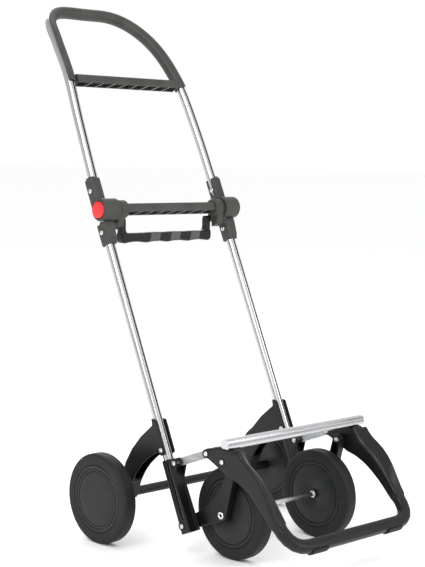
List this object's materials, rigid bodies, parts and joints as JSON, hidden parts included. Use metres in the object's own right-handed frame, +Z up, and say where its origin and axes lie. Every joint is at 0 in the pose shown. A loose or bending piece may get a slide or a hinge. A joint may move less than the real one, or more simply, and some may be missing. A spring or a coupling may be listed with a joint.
{
  "type": "folding platform cart",
  "caption": "Folding cart with a leaning twin-tube mast, a folding loop handle, swing-up stand with platform bar, and wheels on folding arms.",
  "frame": {"origin": "on the floor under the middle of the cart's box", "axes": "+X to the right seen from the front, +Y to the rear where the mast leans, +Z up"},
  "size_m": [0.4714, 0.7758, 1.0009],
  "materials": {
    "black_plastic": "satin moulded",
    "wheel_plastic": "matte moulded",
    "tyre_rubber": "matte",
    "aluminium": "bright anodised",
    "zinc_steel": "zinc plated",
    "red_plastic": "gloss"
  },
  "bodies": {
    "mast": {"left_lower_tube": "aluminium", "right_lower_tube": "aluminium", "left_lower_bracket": "black_plastic", "right_lower_bracket": "black_plastic", "left_lower_sleeve": "black_plastic", "right_lower_sleeve": "black_plastic", "left_link_rivet": "zinc_steel", "right_link_rivet": "zinc_steel", "left_rear_arm_rivet": "zinc_steel", "right_rear_arm_rivet": "zinc_steel", "left_wheel_arm_pin": "zinc_steel", "right_wheel_arm_pin": "zinc_steel", "left_lower_sleeve_rivet": "zinc_steel", "right_lower_sleeve_rivet": "zinc_steel", "hinge_bar": "black_plastic"},
    "handle": {"handle_tube": "aluminium", "handle_cover": "black_plastic", "handle_crossbar": "black_plastic", "hinge_cap": "black_plastic", "left_upper_sleeve": "black_plastic", "right_upper_sleeve": "black_plastic", "left_upper_sleeve_rivet": "zinc_steel", "right_upper_sleeve_rivet": "zinc_steel"},
    "release_button": {"release_button": "red_plastic", "button_spring": "zinc_steel"},
    "carry_handle": {"carry_handle": "black_plastic"},
    "wheel_arms": {"left_wheel_arm": "black_plastic", "right_wheel_arm": "black_plastic", "left_axle_nut": "zinc_steel", "right_axle_nut": "zinc_steel", "main_axle": "zinc_steel"},
    "stand": {"stand_frame": "black_plastic", "platform_bar": "aluminium", "left_foot_pad": "tyre_rubber", "right_foot_pad": "tyre_rubber", "left_tail_pin_outer": "zinc_steel", "right_tail_pin_outer": "zinc_steel", "left_tail_pin_inner": "zinc_steel", "right_tail_pin_inner": "zinc_steel", "left_stand_pin": "zinc_steel", "right_stand_pin": "zinc_steel"},
    "link_bars": {"left_link_bar": "aluminium", "right_link_bar": "aluminium"},
    "rear_arms": {"left_rear_arm": "black_plastic", "right_rear_arm": "black_plastic", "rear_axle_tube": "black_plastic", "rear_axle": "zinc_steel"},
    "left_main_wheel": {"left_main_tyre": "tyre_rubber", "left_main_hub": "wheel_plastic"},
    "right_main_wheel": {"right_main_tyre": "tyre_rubber", "right_main_hub": "wheel_plastic"},
    "left_rear_wheel": {"left_rear_tyre": "tyre_rubber", "left_rear_hub": "wheel_plastic", "left_rear_cap": "wheel_plastic"},
    "right_rear_wheel": {"right_rear_tyre": "tyre_rubber", "right_rear_hub": "wheel_plastic", "right_rear_cap": "wheel_plastic"}
  },
  "joints": [
    {"name": "handle_fold", "type": "hinge", "parent": "mast", "child": "handle", "pos_m": [0, 0.11194, 0.60205], "axis": [1, 0, 0], "range_deg": [0, 180]},
    {"name": "button_press", "type": "slide", "parent": "handle", "child": "release_button", "axis": [1, 0, 0], "range_m": [0, 0.004], "stiffness_N_per_m": 500, "springref_m": -0.002},
    {"name": "carry_swing", "type": "hinge", "parent": "mast", "child": "carry_handle", "pos_m": [0, 0.12294, 0.58], "axis": [1, 0, 0], "range_deg": [-70, 70]},
    {"name": "wheel_arm_fold", "type": "hinge", "parent": "mast", "child": "wheel_arms", "pos_m": [0, -0.1193, 0.05282], "axis": [1, 0, 0], "range_deg": [-27, 0]},
    {"name": "stand_fold", "type": "hinge", "parent": "wheel_arms", "child": "stand", "pos_m": [0, -0.21726, 0.1846], "axis": [1, 0, 0], "range_deg": [-125.1, 0]},
    {"name": "link_fold", "type": "hinge", "parent": "mast", "child": "link_bars", "pos_m": [0, -0.09644, 0.16181], "axis": [1, 0, 0], "range_deg": [0, 2.8]},
    {"name": "rear_arm_fold", "type": "hinge", "parent": "mast", "child": "rear_arms", "pos_m": [0, -0.06188, 0.17941], "axis": [1, 0, 0], "range_deg": [-56, 0]},
    {"name": "left_main_wheel_spin", "type": "hinge", "parent": "wheel_arms", "child": "left_main_wheel", "pos_m": [-0.1102, -0.19206, 0.0825], "axis": [1, 0, 0], "continuous": true},
    {"name": "left_rear_wheel_spin", "type": "hinge", "parent": "rear_arms", "child": "left_rear_wheel", "pos_m": [-0.2222, 0.03824, 0.0825], "axis": [1, 0, 0], "continuous": true},
    {"name": "right_main_wheel_spin", "type": "hinge", "parent": "wheel_arms", "child": "right_main_wheel", "pos_m": [0.1102, -0.19206, 0.0825], "axis": [1, 0, 0], "continuous": true},
    {"name": "right_rear_wheel_spin", "type": "hinge", "parent": "rear_arms", "child": "right_rear_wheel", "pos_m": [0.2222, 0.03824, 0.0825], "axis": [1, 0, 0], "continuous": true}
  ],
  "couplings": [
    {"joint": "wheel_arm_fold", "follows": "stand_fold", "ratio": 0.21503},
    {"joint": "link_fold", "follows": "stand_fold", "ratio": -0.021243}
  ]
}
